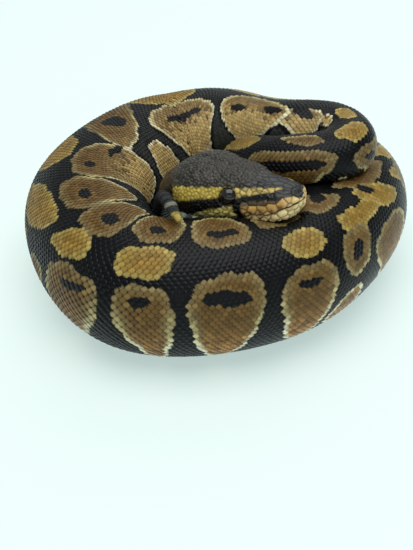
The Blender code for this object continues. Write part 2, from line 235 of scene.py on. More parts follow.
def head_section(back, count=32):
    """One section of the head, as points in the head's own frame."""
    shape = np.array(HEAD_SHAPE)
    wide, top, bottom, line = (through(shape[:, [0, i]], np.array(back)) for i in (1, 2, 3, 4))
    turn = np.linspace(0, 2 * pi, count + 1)[:-1]
    flat, steep = np.abs(np.cos(turn)), np.abs(np.sin(turn))
    over = np.sin(turn) >= 0
    across = wide * np.sign(np.cos(turn)) * flat**0.84
    rise = np.where(over, top - line, line - bottom) * steep**0.9
    brow = 0.35 * bell(back - 13.5, 4.0) * bell(np.abs(across) - 4.6, 1.5) * over
    crown = -0.3 * bell(back - 22.0, 5.0) * bell(across, 1.6) * over
    cheek = -0.45 * bell(back - 8.0, 3.5) * (flat > 0.75) * flat
    level = line + np.where(over, rise, -rise) + brow + crown
    return np.c_[np.full(count, -back), across + cheek * np.sign(across), level]


def place_head(local):
    """Points of the head's frame (mm forward, left, up) in the world."""
    return SNOUT + np.asarray(local) @ head_axes()


def head_reach(back, angles):
    """The head's half size at these angles from its crown, in the section this far back."""
    rim = head_section(float(back), 720)
    turn, out = np.arctan2(rim[:, 1], rim[:, 2]), np.hypot(rim[:, 1], rim[:, 2])
    order = np.argsort(turn)
    turn, out = turn[order], out[order]
    return np.interp(angles, np.r_[turn - 2 * pi, turn, turn + 2 * pi], np.tile(out, 3))


def head_balls():
    """Small balls just inside the head's surface, for the coils under it to give way to: x, y, z, radius."""
    balls = []
    for back in np.arange(1.6, 30.4, 1.2):
        rim = head_section(float(back), 32)
        wide, tall = np.ptp(rim[:, 1]) / 2, np.ptp(rim[:, 2]) / 2
        out = unit((rim - rim.mean(0)) / np.array([1.0, wide**2, tall**2]))
        out[:, 0] = 0
        balls.append(place_head(rim - HEAD_BALL * out))
    centres = np.concatenate(balls)
    return np.c_[centres, np.full(len(centres), HEAD_BALL)]


class Solid:
    """How far the solid's surface stands from the spine, after the floor, the head and the touching coils."""

    def __init__(self, spine):
        self.spine = spine
        self.balls = head_balls()

    def reach(self, i, angles):
        sp = self.spine
        if sp.along[i] < NECK_START:
            return head_reach(max(sp.along[i], 0.02), angles)
        centre, radius = sp.points[i], sp.radius[i]
        ways = np.outer(np.cos(angles), sp.back[i]) + np.outer(np.sin(angles), sp.side[i])
        belly = np.clip(-np.cos(angles) - 0.55, 0, 1) / 0.45
        out = radius * (1 - BELLY_FLAT * belly**2)
        out = np.minimum(out, self.until(centre[2], -ways[:, 2]))
        out = np.minimum(out, self.until(FOLD / max(sp.bend[i], 1e-6), ways @ sp.inward[i]))
        out = self.give_way(out, ways, centre, radius, self.other_coils(i))
        if sp.along[i] < NECK_END:
            forward = head_axes()[0]
            room = (SNOUT - (NAPE + SEAM) * forward - centre) @ forward
            out = np.minimum(out, self.until(max(room, 0.25), ways @ forward))
        else:
            out = self.under_head(out, ways, centre, radius)
        return np.maximum(out, 0.1 * radius)

    @staticmethod
    def until(room, toward):
        """Where a ray that closes in at this rate meets a plane this far off."""
        return np.where(toward > 1e-6, room / np.maximum(toward, 1e-6), 1e9)

    def under_head(self, out, ways, centre, radius):
        between = self.balls[:, :3] - centre
        apart = (between**2).sum(1)
        near = apart < (radius + self.balls[:, 3] + HEAD_CLEAR) ** 2
        for gap, square, size in zip(between[near], apart[near], self.balls[near, 3] + HEAD_CLEAR):
            facing = ways @ gap
            inside = facing**2 - square + size**2
            enter = facing - np.sqrt(np.maximum(inside, 0))
            out = np.where((facing > 0) & (inside > 0), np.minimum(out, enter), out)
        return out

    def other_coils(self, i):
        """Balls along the rest of the body that can reach this section."""
        sp = self.spine
        far = np.abs(sp.along - sp.along[i]) > 2.4 * np.maximum(sp.radius, sp.radius[i]) + 4
        far &= sp.along > (30 if sp.along[i] < 75 else 27)
        near = np.linalg.norm(sp.points - sp.points[i], axis=1) < sp.radius + sp.radius[i]
        picked = np.nonzero(far & near)[0][::2]
        return np.c_[sp.points[picked], sp.radius[picked]]

    def give_way(self, out, ways, centre, radius, balls):
        """Flattens the section on the plane that shares the squeeze between two coils."""
        for ball in balls:
            between = ball[:3] - centre
            apart = between @ between
            if apart >= (radius + ball[3]) ** 2:
                continue
            share = (apart + radius**2 - ball[3] ** 2) / 2 - TOUCH / 2 * np.sqrt(apart)
            out = np.minimum(out, np.maximum(self.until(share, ways @ between), 0.25 * radius))
        return out


class Surface:
    """The skin: where it stands and faces, for any place along the body and any angle from the back."""

    def __init__(self, spine):
        self.spine = spine
        self.angles = np.linspace(-pi, pi, 181)
        solid = Solid(spine)
        raw = np.array([solid.reach(i, self.angles[:-1]) for i in range(len(spine.along))])
        head = fade(*JAW_BLEND, spine.along)[:, None]
        soft = raw * head + soften(raw, 2.2, 1.6) * (1 - head)
        reach = np.minimum(soft, raw) - np.minimum(COAT, 0.25 * raw)
        reach *= 1 - TAIL_TAPER[1] * ramp(spine.length - TAIL_TAPER[0], spine.length, spine.along)[:, None]
        reach -= HEAD_SINK * fade(25.5, 28.5, spine.along)[:, None] * np.minimum(1, 0.3 * raw)
        reach = np.c_[reach, reach[:, :1]]
        ways = (np.cos(self.angles)[None, :, None] * spine.back[:, None] +
                np.sin(self.angles)[None, :, None] * spine.side[:, None])
        axis = place_head(spine.along[:, None] * [-1, 0, 0])
        middle = np.where((spine.along < NECK_START)[:, None], axis, spine.points)
        self.place = middle[:, None] + ways * reach[..., None]
        blend = ramp(*JAW_BLEND, spine.along) * fade(36.0, 39.0, spine.along)
        self.place += (soften(self.place, 2.5, 0) - self.place) * blend[:, None, None]
        self.place[..., 2] = np.maximum(self.place[..., 2], SKIN_FLOOR)
        ring = np.roll(self.place[:, :-1], -1, axis=1) - np.roll(self.place[:, :-1], 1, axis=1)
        ahead = np.gradient(self.place[:, :-1], axis=0)
        facing = unit(np.cross(ring, ahead))
        facing *= np.sign((facing * ways[:, :-1]).sum(-1, keepdims=True) + 1e-9)
        facing = unit(soften(facing, 1.0, 1.0))
        self.facing = np.concatenate([facing, facing[:, :1]], axis=1)
        self.stretch = self.closed(np.linalg.norm(ahead, axis=-1) / SAMPLE)
        self.around = self.closed(np.linalg.norm(ring, axis=-1) / (2 * (self.angles[1] - self.angles[0])))

    @staticmethod
    def closed(grid):
        """A grid of single numbers with its first angle again at the end, ready for read()."""
        return np.c_[grid, grid[:, :1]][..., None]

    def read(self, grid, along, angle):
        """A grid's value at any places, by mixing the four samples round each."""
        i = np.clip(along / SAMPLE, 0, len(self.spine.along) - 1.001)
        j = np.mod(angle + pi, 2 * pi) / (self.angles[1] - self.angles[0])
        j = np.clip(j, 0, len(self.angles) - 1.001)
        u, v = (i % 1)[..., None], (j % 1)[..., None]
        i, j = i.astype(int), j.astype(int)
        near = grid[i, j] * (1 - v) + grid[i, j + 1] * v
        return near * (1 - u) + (grid[i + 1, j] * (1 - v) + grid[i + 1, j + 1] * v) * u

    def tile(self, along, angle, ahead, across, height):
        """Points of small flat tiles, one a row, set square to the body on the skin at (along, angle)."""
        place, facing = self.read(self.place, along, angle), unit(self.read(self.facing, along, angle))
        heading = np.stack([np.interp(along, self.spine.along, way) for way in self.spine.heading.T], 1)
        heading = unit(heading - facing * (heading * facing).sum(1, keepdims=True))
        sideways = np.cross(heading, facing)
        return (place[:, None] + ahead[..., None] * heading[:, None] +
                across[..., None] * sideways[:, None] + height[..., None] * facing[:, None])

    def at(self, along, angle, height=0.0):
        """Points over the skin at these places and heights."""
        place = self.read(self.place, along, angle)
        facing = self.read(self.facing, along, angle)
        return place + unit(facing) * np.asarray(height)[..., None]


# ---- markings: every blotch of the pattern, in mm from the snout and degrees round from the back ----
# length and height are half sizes; taper widens it toward + degrees; slant moves that end along the body.
Blotch = namedtuple("Blotch", "kind s turn length height taper slant eyes", defaults=(0.0, 0.0, ()))
Eye = namedtuple("Eye", "s turn length height slant", defaults=(0.0,))
flank, saddle = partial(Blotch, "flank"), partial(Blotch, "saddle")

LOOP_BLOTCHES = [
    flank(45, -35, 6, 26), flank(60, -50, 5, 30), saddle(52, 8, 3.5, 14),
    flank(46, 70, 6, 34), flank(62, 72, 5.5, 30),
    saddle(75.8, -23.6, 5.3, 28, -0.27, -0.6), flank(91.7, -37, 4, 19, -0.2, 1.8),
    flank(89, 35, 7, 47, -0.47, -0.2, (Eye(88.6, 21.5, 6.7, 11.3, -1.2),)),
    flank(105.6, 58, 5, 47, 0.14, 3.9, (Eye(102.7, 38.4, 0.9, 10.4, 0.8),)),
    saddle(102.1, -25.3, 3.4, 26, -0.18, 1), saddle(109, -45, 3.1, 20),
    flank(97.7, 64, 1.1, 9, 0.5, 0.1), flank(112.8, -83, 6.1, 15.3, -0.29, 0.8),
]
BACK_BLOTCHES = [
    flank(120.4, -90, 4.3, 32, 0.47, 0.1, (Eye(120.6, -70.6, 1.6, 12.2, 0.7),)),
    flank(134.5, -94, 10, 52, 0.75, 2, (Eye(139.1, -76.6, 3.4, 6.6, 0.2), Eye(126.8, -70, 2.1, 7.4))),
    saddle(137.5, -21, 14.1, 14, -0.2),
    flank(163.2, -110, 14.9, 61, 0.57, 8, (Eye(168.1, -72.1, 11.3, 5.3, 4.9),)),
    saddle(171.6, -23.7, 10.6, 27, -0.14, 1.3), flank(189.4, -105, 5.6, 24, -0.32, 1.5),
    flank(192.2, -33.2, 8.1, 43, 0, -6.7, (Eye(192.8, -40.9, 3, 11.4, 0.4),)),
    flank(211.6, -79.2, 11.2, 49, -0.13, 4.2,
           (Eye(205, -66.5, 3.8, 4.8, 3), Eye(216.7, -48, 1.4, 4.8, 0.2))),
]
INNER_BLOTCHES = [
    flank(229.2, -48.6, 6.4, 35, 0.34, -1.5, (Eye(229.7, -34.8, 1.8, 5.6, 0.5),)),
    flank(240.9, -44.6, 5.8, 32, 0.12, -0.2, (Eye(241.8, -35.2, 2.3, 6.4),)),
    flank(253.3, -55.5, 6.3, 35, 0.05, 0.4, (Eye(253.4, -37.6, 1.7, 4.8, 0.4),)),
    flank(266.6, -34, 6, 23, 0.3, 1.5, (Eye(267.2, -26, 3.2, 4.5, 1),)),
    flank(281, -36, 6.6, 19, 0, 0, (Eye(281, -34, 2.2, 5),)),
    flank(291.4, -24, 4.2, 17, 0.4, 3, (Eye(293, -24, 1.9, 6.3, 0.4),)),
    flank(307.3, -8, 5.6, 17, 0.34, 6.7),
]
BACK_SADDLES = [
    saddle(207.1, -8.9, 6.5, 21.5, 0.15, -1.2), saddle(222.8, 10.7, 8.2, 20, -0.05, -4.4),
    saddle(239.7, 0.2, 4.3, 15, 0.3, -1.7), saddle(252.6, -4, 4.8, 15, -0.13, -0.6),
    saddle(282.4, 3.6, 4.3, 13.4, -0.08, 0.5), saddle(298, 10.7, 6.9, 12, 0.73, 5.3),
    saddle(318.5, 29.6, 2.1, 14.5, 0.1, 2.9), saddle(323.2, 17.8, 2.6, 21, 0, 4.1),
]
OUTER_BLOTCHES = [
    flank(215.2, 64, 7, 30, 0, -4.5), flank(227.4, 76, 3.4, 38, -0.6, -5),
    flank(241.6, 58.7, 5.2, 43, -0.29, -1.2, (Eye(243.2, 30.8, 2, 4, -0.7),)),
    flank(253.8, 63, 3.4, 50, -0.75, 1.2, (Eye(252.6, 27.3, 1.2, 4.4, -0.3),)),
    flank(265.6, 60, 5.6, 51, -0.62, -0.9, (Eye(265.9, 29.1, 3.7, 7, 1.8),)),
    flank(280.4, 63, 4.9, 43, -0.45, -1, (Eye(280.9, 35.3, 2.1, 3.4, 1),)),
    flank(292.4, 34.3, 4.4, 19.7, -0.33, -1.1, (Eye(292.4, 33.2, 1.7, 7.3, -0.6),)),
    saddle(306.8, 13.3, 4, 19.5, 0.05, 4.2, (Eye(304.8, 2, 1.1, 8, 1.1),)),
    flank(289, 80, 4.3, 18, 0.3, -1), flank(305.4, 68.7, 6.9, 34, -0.39, 0.9),
]


def repeating(first, last, pitch, side, turn=58, height=36):
    """The steady run of flank blotches on a stretch of one side, each a little unlike the last."""
    made, s, k = [], first, 0
    while s < last:
        wide, tall = pitch * (0.40 + 0.05 * sin(2.3 * k)), height + 3 * sin(1.3 * k)
        eye = Eye(s + 0.6 * sin(1.7 * k), side * (turn - 0.42 * height), 0.42 * wide, 6.0, 0.5 * cos(k))
        made.append(flank(s, side * turn, wide, tall, -0.2 * side, cos(2 * k), (eye,)))
        s += pitch * (1 + 0.08 * sin(3.1 * k))
        k += 1
    return made


def tail_saddles():
    """Broken gold marks down the back of the tail."""
    return [saddle(s, 14 * sin(s), 2.3 + 0.8 * cos(s), 13 + 2 * sin(2 * s)) for s in range(331, 404, 9)]


BLOTCHES = (LOOP_BLOTCHES + BACK_BLOTCHES + INNER_BLOTCHES + BACK_SADDLES + OUTER_BLOTCHES + tail_saddles() +
            repeating(113, 205, 13.0, 1) + repeating(322, 400, 11.0, 1) + repeating(325, 400, 11.0, -1))

TAIL_TIP = (429.0, 430.3, 432.3)     # mm along: the start and end of a pale band of painted highlight, and the start of the pale tip
EDGE_INSET = 0.25        # scales: how far inside its outline a blotch's paint starts


def linear(colour):
    """sRGB bytes as linear light."""
    c = np.asarray(colour, float) / 255
    return np.where(c <= 0.04045, c / 12.92, ((c + 0.055) / 1.055) ** 2.4)


INK = SimpleNamespace(**{name: linear(colour) for name, colour in {
    # the body
    # the paler black of the coil's inner walls is painted sheen
    "black": (11, 12, 15), "slate": (20, 23, 26), "inner_black": (56, 59, 57), "outline": (5, 6, 8),
    "saddle_rim": (158, 139, 78), "saddle_ring": (142, 116, 55), "saddle_core": (137, 107, 45),
    "flank_rim": (122, 106, 70), "flank_rim_low": (180, 168, 120), "flank_ring": (112, 92, 54),
    "flank_core": (99, 74, 37), "flank_low": (172, 122, 59), "inner_low": (178, 152, 98),
    "cream": (224, 218, 186), "belly": (214, 208, 182), "eye_ring": (130, 110, 66), "nape": (60, 54, 44),
    # the grey of the tail's end and its pale band are painted highlight
    "stripe": (150, 134, 56), "tail": (46, 49, 52), "tail_band": (128, 128, 112), "tail_tip": (176, 158, 84),
    # the head
    "crown": (58, 54, 46), "crown_dark": (24, 23, 21), "snout": (40, 42, 43), "bar": (8, 9, 11),
    "face_stripe": (206, 182, 84), "face_stripe_front": (180, 158, 88), "rear_lip": (240, 222, 132),
    "front_lip": (196, 156, 88), "orange": (176, 96, 44), "lip_edge": (218, 190, 130),
    "lip_grey": (50, 50, 50), "jaw": (232, 208, 150), "chin": (222, 212, 176), "pit": (146, 84, 32),
    # groove is painted shade: the near-black of the head's crevices and deep places
    "groove": (14, 13, 12), "iris": (24, 19, 15), "iris_rim": (9, 8, 8), "pupil": (5, 5, 6),
}.items()})


def mix(a, b, share):
    share = np.asarray(share)[..., None]
    return a * (1 - share) + b * share


def paint_over(colour, *layers):
    """A colour with more laid over it in turn, each as (colour, share)."""
    for ink, share in layers:
        colour = mix(colour, ink, share)
    return colour


def depth_in(shape, s, turn, pitch, row, taper=0.0, power=2.6):
    """How many scales inside a blotch's or eye's outline a place is; below zero outside."""
    v = (turn - shape.turn) / shape.height
    half = shape.length * np.maximum(1 + taper * np.clip(v, -1, 1), 0.2)
    u = (s - shape.s - shape.slant * np.clip(v, -1.2, 1.2)) / half
    rho = (np.abs(u) ** power + np.abs(v) ** power) ** (1 / power) + 1e-9
    steep = np.hypot((np.abs(u) / rho) ** (power - 1) * pitch / half,
                     (np.abs(v) / rho) ** (power - 1) * row / shape.height)
    return (1 - rho) / np.maximum(steep, 0.3 * pitch / np.max(shape.length))


def saddle_paint(depth):
    """A back blotch's gold, this many scales inside its edge."""
    return paint_over(INK.saddle_rim, (INK.saddle_ring, ramp(0.5, 1.1, depth)),
                      (INK.saddle_core, ramp(1.5, 3.0, depth)))


def flank_paint(depth, turn):
    """A flank blotch's brown: a thin rim that turns to cream lower down, and a tan lower part."""
    off, inner = np.abs(turn), turn < 0
    rim = paint_over(INK.flank_rim, (INK.flank_rim_low, ramp(28, 58, off)),
                     (INK.cream, np.where(inner, 0.6, 1.0) * ramp(54, 74, off)))
    low = np.where(inner[:, None], INK.inner_low, INK.flank_low)
    body = paint_over(INK.flank_ring, (INK.flank_core, ramp(1.2, 2.6, depth)), (low, ramp(45, 100, off)))
    return paint_over(rim, (body, ramp(0.5, 1.1, depth)), (INK.cream, ramp(122, 142, off)))


def marking(s, turn, radius):
    """The colour of the animal's back, sides and belly, for arrays of places along and round it (degrees)."""
    pitch, row = through(SCALE_PITCH, s), np.degrees(through(ROW_GAP, s) / radius)
    off, inner = np.abs(turn), turn < 0
    # past the neck the tables are read half a millimetre on; the places waver, so no outline is smooth
    s = s + 0.5 * ramp(36, 48, s)
    s_w = s + 0.15 * np.sin(1.9 * s + 0.12 * turn) + 0.15 * np.sin(0.9 * s - 0.21 * turn + 1)
    turn_w = turn + 0.9 * np.sin(1.3 * s + 0.1 * turn)
    # on the inner side the black is lifted toward a pale grey: painted sheen, not the scales' own colour
    dark = np.where(inner[:, None], INK.inner_black, INK.slate)
    colour = mix(INK.black, dark, ramp(45, 105, off) * 0.8)
    for blotch in BLOTCHES:
        near = np.abs(s - blotch.s) < blotch.length * 1.5 + abs(blotch.slant) + 3
        if not near.any():
            continue
        p, r, a, t = pitch[near], row[near], s_w[near], turn_w[near]
        depth = depth_in(blotch, a, t, p, r, blotch.taper) - EDGE_INSET
        under = colour[near]
        under = mix(under, INK.outline, ramp(-1.6, -0.4, depth) * (under.mean(-1) < 0.05))
        paint = saddle_paint(depth) if blotch.kind == "saddle" else flank_paint(depth, t)
        for eye in blotch.eyes:
            deep = depth_in(eye, a, t, p, r, power=2.2)
            paint = mix(paint, INK.eye_ring, 0.3 * ramp(-1.0, -0.5, deep))
            paint = mix(paint, INK.black, deep > -0.1)
        colour[near] = np.where((depth > 0)[:, None], paint, under)
    lower = 24 * inner * ramp(104, 112, s) * fade(225, 240, s)    # degrees: how much lower the belly starts
    ringed = ramp(399, 405, s)                                    # the end of the tail is grey between black rings; the grey is painted highlight on the rings
    first, last, tip = np.array(TAIL_TIP)[:, None] - 0.8 * np.cos(np.radians(turn - 150))
    return paint_over(
        colour,
        (INK.nape, fade(30, 44, s) * fade(88, 104, off)),
        (INK.stripe, ramp(73, 77, off) * fade(92, 96, off) * fade(28.6, 29.6, s)),
        (INK.belly, ramp(128, 142, off - lower + 5 * np.sin(0.8 * s) + 4 * np.sin(2.1 * s))),
        (INK.tail, ringed),
        (INK.black, ringed * ramp(0.2, 0.7, np.sin(2.7 * s + 0.02 * turn))),
        # a pale band of painted highlight just before the tip
        (INK.tail_band, ramp(first, first + 0.5, s) * fade(last, last + 0.5, s)),
        (INK.tail_tip, ramp(tip, tip + 0.8, s)))


# ---- the head's own details, in its frame: mm back from the snout, to its left, and up ----
MOUTH_CORNER = 25.5
# The line between the lips, as (mm back, mm up); it follows the plates, so it dips below the solids' own.
LIP_LINE = [(-1, -0.9), (1, -1.2), (2.5, -1.8), (4, -2.6), (6, -3.2), (10, -3.6), (12, -4.1),
            (14, -4.8), (18, -5.1), (22, -4.8), (25.5, -4.1), (27, -3.9)]
LIP_PITCH = 2.5
LIP_ROWS = (1.25, -1.25, 3.5)    # mm over that line: both lips, and the row over the front plates
NOSTRIL = (5.3, 5.35, 0.75)
HEAT_PITS = [2.2, 4.3, 7.2, 9.8]
EYE_SWELL = 0.12         # the visible eyeballs stand this much out of the solids' own
EYE_REACH = 4.5          # mm from the middle of the head: an eye's folds and shade lie further out
PIT_REACH = 1.5          # the same for the heat pits
SNOUT_PLATES = [(3, 1.30, 1.9), (6.8, 1.45, 1.7), (2, 0.35, 2), (4.6, 0.40, 2.1), (7.3, 0.34, 2),
                (8.8, 1.05, 1.5), (10.4, 0.50, 1.6), (5, 0.92, 1.6)]    # mm back, angle from the crown, size
HEAD_RINGS, HEAD_ROUND, HEAD_END, HEAD_INSET, NOSE_BULGE = 205, 400, 31, 0.22, 0.5
GRAIN_AT = [0, 8, 12, 31]        # mm back: where the plates of the snout end and the crown's beads begin
TRIES = 30000            # places tried for the small seeds of the head
BATCH = 4000             # points measured against the seeds at a time
# Edges of the side's bands, as (mm back, degrees down from the crown).
STRIPE_TOP = [(2.6, 44), (5, 52), (9, 60), (12.5, 66), (15, 68), (22, 72), (28.5, 74)]
STRIPE_LOW = [(2.6, 50), (5, 66), (9, 78), (12.5, 85), (15, 86), (22, 89), (28.5, 95)]
LIP_TOP = [(0, 72), (2.5, 82), (5, 86), (8, 89), (11.5, 94), (14, 99), (20, 106), (24, 116),
           (26, 120)]
SMOKE = [(2, 6), (4, 11), (6, 20), (9, 15), (12, 12)]    # degrees below LIP_TOP: the lips' dark tops


def mouth_height(back):
    return through(LIP_LINE, back)


def edge_at(edges, back):
    return np.interp(back, *np.array(edges, float).T)


def band(down, back, edges, soft=2.5):
    """From 0 above one of the side's edges to 1 below it."""
    line = edge_at(edges, back)
    return ramp(line - soft, line + soft, down)


def nostril_distance(back, side, up):
    return np.sqrt((back - NOSTRIL[0]) ** 2 + (side - NOSTRIL[1]) ** 2 + 0.8 * (up - NOSTRIL[2]) ** 2)


def heat_pits(back, side, above, middle, width):
    """1 in the middle of a heat pit, for each pit in turn; middle is its height over the lips' line."""
    far = [np.hypot((back - pit) * 0.8, above - middle) for pit in HEAT_PITS]
    return bell(np.array(far), width) * (side > PIT_REACH)


def head_marking(local):
    """The head's colours at places in its frame (back, left, up)."""
    back, side, up = local.T
    down = np.degrees(np.arctan2(np.abs(side), up))
    above = up - mouth_height(back)
    patch = np.sin(1.9 * back + 0.8 * side) * np.sin(1.3 * side - 0.7 * back + 2)
    lowest = band(down, back, STRIPE_LOW)
    on = band(down, back, STRIPE_TOP) * (1 - lowest) * ramp(2.4, 3.6, back) * fade(28.4, 29.0, back)
    line, reach = edge_at(LIP_TOP, back), edge_at(SMOKE, back)
    smoke = fade(line + 0.5 * reach, line + reach, down) * ramp(1.8, 2.8, back)
    under_eye = ramp(11.2, 11.7, back) * fade(13.1, 13.6, back)
    upper = paint_over(
        INK.front_lip,
        (INK.lip_edge, ramp(1.5, 0.2, above)),
        (INK.orange, 0.8 * bell(back - 0.9, 0.5) * ramp(3.4, 2.4, above)),
        (INK.lip_edge, 0.8 * fade(1.0, 2.0, back)),
        (INK.lip_grey, 0.85 * smoke),
        (INK.rear_lip * fade(24.0, 25.5, back)[:, None], ramp(12.2, 12.6, back)),
        (INK.bar, under_eye))
    lower = paint_over(INK.jaw, (INK.rear_lip, 0.5 * ramp(10, 14, back)), (INK.bar, 0.8 * under_eye))
    return paint_over(
        INK.snout,
        (INK.crown, ramp(7, 12, back)),
        (INK.crown_dark, 0.45 * ramp(0.1, 0.8, patch) * ramp(7, 10, back)),
        (mix(INK.face_stripe_front, INK.face_stripe, ramp(11, 15, back)), on),
        (mix(INK.bar, INK.lip_grey, fade(1.6, 4.2, back)), lowest),
        (upper, band(down, back, LIP_TOP)),
        (lower, ramp(-0.05, -0.3, above) * (down > 60)),
        (INK.chin, ramp(-2.2, -3.4, above) * (down > 90)))


def head_sheet():
    """The head's own surface as rows of points in its frame: a rounded nose, then rings to the nape."""
    angles = np.linspace(-pi, pi, HEAD_ROUND + 1)[:-1]
    rows = []
    for back in HEAD_END * np.linspace(0, 1, HEAD_RINGS) ** 1.12:
        reach = head_reach(max(back, 0.02), angles) - HEAD_INSET
        rows.append(np.c_[np.full(HEAD_ROUND, -back), reach * np.sin(angles), reach * np.cos(angles)])
    nose, middle = rows[0], rows[0].mean(0)
    caps = [middle + (nose - middle) * share + [NOSE_BULGE * (1 - share**2) ** 0.5, 0, 0]
            for share in (0.02, 0.13, 0.25, 0.37, 0.49, 0.61, 0.72, 0.82, 0.92)]
    return np.array(caps + rows)


def sheet_facing(sheet):
    """The way out of the sheet at each of its points, smoothed."""
    ring = np.roll(sheet, -1, axis=1) - np.roll(sheet, 1, axis=1)
    facing = unit(np.cross(ring, np.gradient(sheet, axis=0)))
    out = sheet - sheet.mean(axis=1, keepdims=True)
    out[:12, :, 0] += 1.0
    return unit(soften(facing * np.sign((facing * out).sum(-1, keepdims=True) + 1e-9), 1.5, 2.0))


def head_spot(back, up, side):
    """The place on the head's own surface this far back and this high, on one side."""
    wide = 5.0
    for _ in range(4):
        reach = head_reach(back, np.array([np.arctan2(wide, up)]))[0]
        wide = max(reach**2 - up**2, 1.0) ** 0.5
    return -back, side * wide, up


def chosen_seeds():
    """Middles and sizes of the head scales that have a set place: lips, snout and the ring round each eye."""
    seeds = []
    for side in (-1, 1):
        for k in range(11):
            back = 1.5 + k * LIP_PITCH
            for lift in LIP_ROWS if k < 4 else LIP_ROWS[:2]:
                up = mouth_height(np.array(back)) + lift
                seeds.append((*head_spot(back, up, side), LIP_PITCH * 0.92))
        for k in range(13):
            a = 2 * pi * (k + 0.3) / 13
            seeds.append((*head_spot(EYE_BACK + 2.75 * cos(a), EYE_UP + 2.75 * sin(a), side), 1.1))
        for back, turn, size in SNOUT_PLATES:
            reach = head_reach(back, np.array([turn]))[0]
            seeds.append((-back, side * reach * sin(turn), reach * cos(turn), size))
    return seeds + [(NOSE_BULGE, 0.0, -1.4, 2.4), (0.2, 0.0, -4.2, 1.8)]


def head_seeds(sheet):
    """The chosen seeds, then uneven small ones over the rest, none nearer than its own size allows."""
    chosen = np.array(chosen_seeds())
    points, sizes = chosen[:, :3], chosen[:, 3]
    spots = sheet.reshape(-1, 3)
    spots = spots[np.random.default_rng(7).permutation(len(spots))[:TRIES]]
    x, y, z = spots.T
    wish = np.interp(-x, [0, 6, 10, 13, 20, 31], [1.5, 1.35, 1.0, 0.74, 0.7, 0.82])
    chin = np.abs(np.arctan2(y, z)) > 2.15
    wish = np.where(chin, np.interp(-x, [0, 8, 31], [1.2, 1.15, 1.05]), wish)
    wish = wish * (1 + 0.16 * np.sin(2.1 * x + 1.7 * y) * np.sin(1.9 * y - x))
    for spot, size in zip(spots, wish):
        if (((points - spot) ** 2).sum(1) > ((sizes + size) / 2 * 0.96) ** 2).all():
            points, sizes = np.r_[points, [spot]], np.r_[sizes, size]
    return points


def nearest_two(points, seeds):
    """For each point its own seed and how far it is from the line it shares with the next."""
    own, edge = np.empty(len(points), int), np.empty(len(points))
    norms = (seeds**2).sum(1)
    for start in range(0, len(points), BATCH):
        now = slice(start, start + BATCH)
        some = points[now]
        square = norms - 2 * some @ seeds.T
        two = np.argpartition(square, 2, axis=1)[:, :2]
        rows = np.arange(len(some))[:, None]
        two = two[rows, np.argsort(square[rows, two], axis=1)]
        gap = square[rows[:, 0], two[:, 1]] - square[rows[:, 0], two[:, 0]]
        between = np.linalg.norm(seeds[two[:, 1]] - seeds[two[:, 0]], axis=1)
        own[now], edge[now] = two[:, 0], gap / (2 * between)
    return own, edge


def head_folds(back, side, up):
    """Height changes that aren't scales: mouth, lips, eye rims, brows, nostrils, heat pits and grooves."""
    above = up - mouth_height(back)
    mouth = fade(MOUTH_CORNER - 1.5, MOUTH_CORNER + 0.5, back) * (side > 0.01)
    rise = -0.42 * bell(above, 0.15) * mouth + 0.14 * bell(above - 0.75, 0.5) * mouth
    # the lower lip's bulge, drawn in under the very front
    rise += 0.30 * bell(above + 1.1, 0.9) * fade(11, 15, back) * ramp(1.0, 4.5, back)
    rise -= 0.15 * ramp(-0.1, -0.6, above) * fade(0.5, 3.0, back)
    # each eye's rim and socket, and the brow over it
    eye, beside = np.hypot(back - EYE_BACK, up - EYE_UP), side > EYE_REACH
    rise += beside * (0.22 * bell(eye - 2.4, 0.42) - 0.45 * fade(1.7, 2.2, eye))
    rise += beside * 0.25 * bell(up - EYE_UP - 2.6, 0.7) * bell(back - EYE_BACK + 0.3, 3.2)
    hole = nostril_distance(back, side, up)
    rise += 0.16 * bell(hole - 0.75, 0.3) - 0.75 * bell(hole, 0.36)
    for pit in heat_pits(back, side, above, 0.6, 0.5):
        rise -= 0.35 * pit
    # the groove of the chin, the furrow of the nape, the swell over each jaw, and the crown's dips and grain
    rise -= 0.3 * bell(side, 0.25) * (up < -4) * ramp(1.5, 4, back) * fade(12, 15, back)
    rise -= 0.3 * bell(side, 0.9) * (up > 0) * ramp(15, 19, back) * fade(26, 29, back)
    rise += 0.35 * bell(back - 21.5, 4.0) * bell(side - 6.2, 2.2) * (up > 2)
    rise -= 0.25 * bell(back - 9.0, 2.6) * bell(side - 4.4, 1.3) * (up > 1.5)
    rise -= 0.2 * bell(back - 11.5, 2.0) * bell(side, 2.0) * (up > 0)
    return rise + 0.10 * np.sin(2.3 * back + 1.2 * side) * np.sin(1.7 * side - 0.6 * back) * ramp(9, 13, back)


def pit_shade(back, side, up):
    """How dark the deep places of the head are, from 0 to 1."""
    above = up - mouth_height(back)
    shade = bell(above, 0.16) * (back < MOUTH_CORNER)
    shade = np.maximum(shade, bell(nostril_distance(back, side, up), 0.42))
    for pit in heat_pits(back, side, above, 0.5, 0.35):
        shade = np.maximum(shade, 0.45 * pit)
    eye = np.hypot(back - EYE_BACK, up - EYE_UP)
    return np.maximum(shade, (side > EYE_REACH) * (eye < 1.85))


